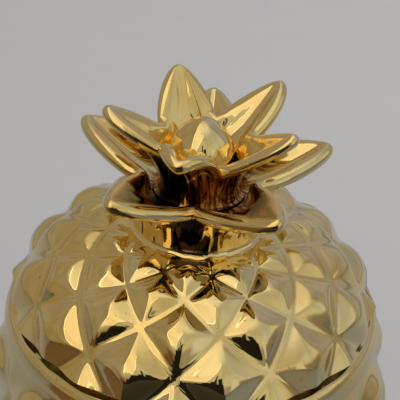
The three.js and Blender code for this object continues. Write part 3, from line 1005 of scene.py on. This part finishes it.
def room_colour(n, direction):
    """The room that the plating mirrors, a little uneven in its light."""
    angles = room_angles(n, direction)
    colour = add_cove(n, direction, angles, wall_colour(n, angles))
    level = n.span(n.noise(direction, 2.2, 1), 0.3, 0.7, 0.88, 1.12)
    grey = n.add("ShaderNodeCombineXYZ", {"X": level, "Y": level, "Z": level}).outputs[0]
    colour = n.mix(1.0, colour, grey, "MULTIPLY")
    return add_places(n, angles, colour, DARK_PLACES)


def floor_in_metal(n, place):
    """What the plating mirrors of the floor: cool and dim, with dark places in front and behind."""
    azimuth, _ = room_angles(n, place)
    depth = n.add("ShaderNodeSeparateXYZ", {"Vector": place}).outputs[1]
    cool = n.mix(n.span(azimuth, 20, 60), FLOOR_BLUE, FLOOR_DEEP_BLUE)
    seen = n.mix(n.span(depth, -0.1, 0.25), cool, FLOOR_FAR)
    left = n.times(n.between(azimuth, -72, -33, 2), n.drop(depth, -0.11, -0.09))
    seen = n.mix(left, seen, FLOOR_BROWN)
    front = n.times(n.between(azimuth, -33, 27, 2), n.drop(depth, -0.13, -0.11))
    seen = n.mix(front, seen, FLOOR_BLACK)
    behind = n.times(n.span(n.math("ABSOLUTE", azimuth), 146, 152), n.between(depth, 0.1, 0.21, 0.01))
    return n.mix(behind, seen, FLOOR_DARK_BROWN)


def floor_material():
    """Pale grey floor. The plating sees the room's dark places run on in it."""
    material, n = new_material("pale_floor")
    place = n.place()
    plain = n.mix(n.noise(place, 30, 3), FLOOR_GREY, FLOOR_PALE_GREY)
    glossy = n.add("ShaderNodeLightPath").outputs["Is Glossy Ray"]
    colour = n.mix(glossy, plain, floor_in_metal(n, place))
    shader = n.add("ShaderNodeBsdfPrincipled", {"Base Color": colour, "Roughness": 0.8})
    n.add("ShaderNodeOutputMaterial", {"Surface": shader.outputs[0]})
    return material


def add_floor():
    r = FLOOR_REACH
    mesh = bpy.data.meshes.new("floor")
    mesh.from_pydata([(-r, -r, 0), (r, -r, 0), (r, r, 0), (-r, r, 0)], [], [(0, 1, 2, 3)])
    mesh.materials.append(floor_material())
    floor = bpy.data.objects.new("floor", mesh)
    bpy.context.scene.collection.objects.link(floor)


def add_world():
    """The room for the plating, and a plain backdrop for the camera."""
    world = bpy.data.worlds.new("room")
    world.use_nodes = True
    bpy.context.scene.world = world
    n = Nodes(world.node_tree)
    direction = n.add("ShaderNodeTexCoord").outputs["Generated"]
    camera = n.add("ShaderNodeLightPath").outputs["Is Camera Ray"]
    colour = n.mix(camera, room_colour(n, direction), BACKDROP)
    background = n.add("ShaderNodeBackground", {"Color": colour, "Strength": 1.0})
    n.add("ShaderNodeOutputWorld", {"Surface": background.outputs[0]})


def add_softbox():
    """Soft top light. It lights the floor and the clay, and the plating shows the room alone."""
    data = bpy.data.lights.new("softbox", "AREA")
    data.shape = "SQUARE"
    data.size = SOFTBOX_SIZE
    data.energy = SOFTBOX_ENERGY
    lamp = bpy.data.objects.new("softbox", data)
    lamp.location = SOFTBOX_PLACE
    lamp.rotation_euler = (SOFTBOX_AIM - SOFTBOX_PLACE).to_track_quat("-Z", "Y").to_euler()
    lamp.visible_glossy = False
    bpy.context.scene.collection.objects.link(lamp)


def add_camera():
    """The camera stands off a pivot inside the jar, and is rolled a little."""
    flat = CAMERA_DISTANCE * math.cos(CAMERA_ELEVATION)
    place = Vector((
        flat * math.sin(CAMERA_AZIMUTH),
        -flat * math.cos(CAMERA_AZIMUTH),
        CAMERA_PIVOT_HEIGHT + CAMERA_DISTANCE * math.sin(CAMERA_ELEVATION),
    ))
    ahead = (CAMERA_AIM - place).normalized()
    right = ahead.cross(Vector((0, 0, 1))).normalized()
    up = right.cross(ahead)
    c, s = math.cos(CAMERA_ROLL), math.sin(CAMERA_ROLL)
    right, up = right * c + up * s, up * c - right * s
    data = bpy.data.cameras.new("camera")
    data.lens = CAMERA_LENS
    data.sensor_width = SENSOR
    data.clip_start = CLIP_START
    camera = bpy.data.objects.new("camera", data)
    turn = Matrix((right, up, -ahead)).transposed().to_4x4()
    camera.matrix_world = Matrix.Translation(place * MM) @ turn
    bpy.context.scene.collection.objects.link(camera)
    bpy.context.scene.camera = camera


def dress(skin, name, node, body, materials):
    """Builds a skin as a piece that stands for a node and moves with its body."""
    piece = skin.build(name, materials)
    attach(piece, body)
    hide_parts(node)


def main():
    gold = gold_material()
    egg = [gold, glaze_material(), bisque_material(), seam_shade_material()]
    leaves = [leaf_material(), gap_shade_material(), neck_shade_material()]
    outer, inner = complete_whorls()
    dress(jar_skin(), "jar", "jar_body", "jar", egg)
    dress(dome_skin(), "lid", "lid_dome", "lid", egg)
    dress(whorl_skin(outer), "outer_leaves", "crown_outer_whorl", "lid", leaves)
    dress(whorl_skin(inner), "inner_leaves", "crown_inner_whorl", "lid", leaves)
    dress(bud_skin(inner), "bud", "crown_bud", "lid", [gold])
    dress(seal_skin(), "seal", "lid_seal", "seal", [silicone_material()])
    add_floor()
    add_world()
    add_softbox()
    add_camera()
    bpy.context.scene.view_settings.view_transform = "Standard"


main()
